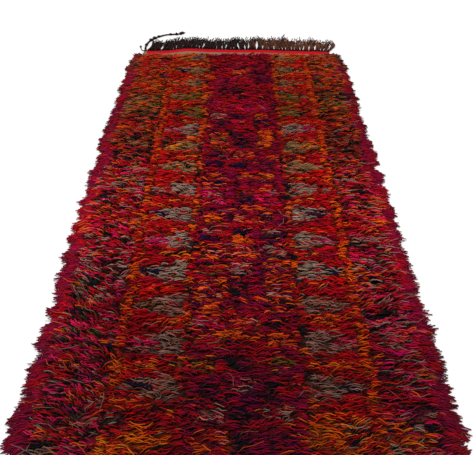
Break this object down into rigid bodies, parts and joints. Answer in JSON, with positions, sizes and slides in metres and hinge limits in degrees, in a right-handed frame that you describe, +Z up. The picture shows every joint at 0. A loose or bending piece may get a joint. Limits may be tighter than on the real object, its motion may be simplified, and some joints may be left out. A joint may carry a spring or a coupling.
{
  "type": "tulu rug",
  "caption": "Long narrow shag rug lying flat, with long wool pile, flat-woven ends and a knotted fringe at each end.",
  "frame": {"origin": "middle of the rug's underside, on the floor", "axes": "+X across the rug, +Y along it towards the end with the long loose braid, +Z up"},
  "size_m": [1.3045, 3.5369, 0.0513],
  "materials": {
    "pile_wool": "long loose wool yarn",
    "fringe_wool": "twisted wool warp ends",
    "flat_weave": "weft-faced flat weave"
  },
  "bodies": {
    "root": {"rug": "pile_wool", "fringe_far": "fringe_wool", "fringe_near": "fringe_wool"}
  },
  "joints": []
}
